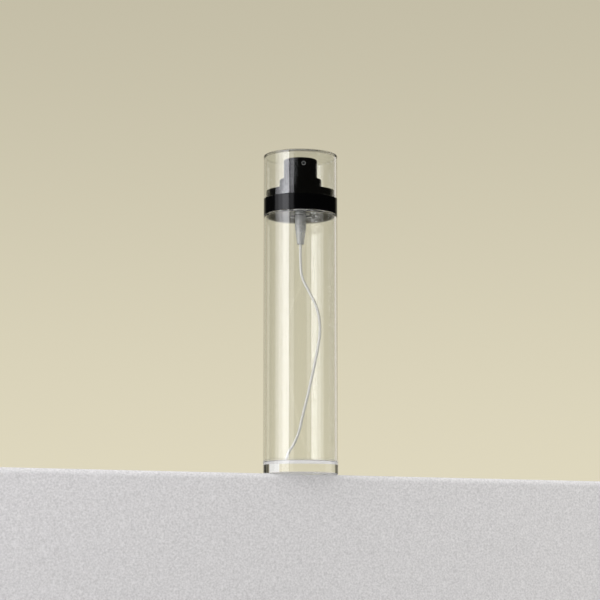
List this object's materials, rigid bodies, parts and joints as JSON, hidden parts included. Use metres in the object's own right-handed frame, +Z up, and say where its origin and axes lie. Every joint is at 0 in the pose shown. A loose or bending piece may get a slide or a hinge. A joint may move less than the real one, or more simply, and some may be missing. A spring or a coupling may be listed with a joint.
{
  "type": "cosmetic pump bottle",
  "caption": "Slim clear cylindrical cosmetic bottle with a thick solid base, a black finger pump on a stepped screw collar, a dip tube and a clear lift-off overcap.",
  "frame": {"origin": "centre of the bottle's base, on the surface it stands on", "axes": "+Z up along the bottle's axis, -Y the front, which the orifice in the button faces"},
  "size_m": [0.0402, 0.0402, 0.1736],
  "materials": {
    "clear_bottle": "clear polished PETG",
    "clear_cap": "clear polished styrene",
    "black_plastic": "smooth gloss black",
    "dark_plastic": "semi-gloss dark grey",
    "gasket_foam": "soft black foam rubber",
    "milky_plastic": "translucent natural plastic",
    "white_plastic": "smooth white",
    "spring_steel": "bright stainless"
  },
  "bodies": {
    "bottle": {"bottle": "clear_bottle"},
    "pump_engine": {"pump_housing": "milky_plastic", "housing_gland": "white_plastic", "neck_gasket": "gasket_foam", "dip_tube": "milky_plastic", "return_spring": "spring_steel"},
    "closure": {"collar_shell": "black_plastic", "screw_closure": "black_plastic"},
    "plunger": {"pump_stem": "white_plastic", "piston": "milky_plastic", "piston_rod": "white_plastic"},
    "button": {"actuator": "black_plastic", "nozzle_insert": "dark_plastic"},
    "inlet_ball": {"inlet_ball": "spring_steel"},
    "overcap": {"overcap": "clear_cap"}
  },
  "joints": [
    {"name": "engine_lift", "type": "slide", "parent": "bottle", "child": "pump_engine", "axis": [0, 0, 1], "range_m": [0, 0.00317]},
    {"name": "closure_turn", "type": "hinge", "parent": "pump_engine", "child": "closure", "pos_m": [0, 0, 0.1456], "axis": [0, 0, 1], "range_deg": [0, 360]},
    {"name": "pump_stroke", "type": "slide", "parent": "pump_engine", "child": "plunger", "axis": [0, 0, -1], "range_m": [0, 0.004], "stiffness_N_per_m": 1200, "deforming": ["return_spring"]},
    {"name": "button_spin", "type": "hinge", "parent": "plunger", "child": "button", "pos_m": [0, 0, 0.168], "axis": [0, 0, 1], "continuous": true},
    {"name": "ball_lift", "type": "slide", "parent": "pump_engine", "child": "inlet_ball", "axis": [0, 0, 1], "range_m": [0, 0.0012]},
    {"name": "cap_lift", "type": "slide", "parent": "closure", "child": "overcap", "axis": [0, 0, 1], "range_m": [0, 0.04]}
  ],
  "couplings": [
    {"joint": "closure_turn", "follows": "engine_lift", "rad_per_m": 1979}
  ]
}
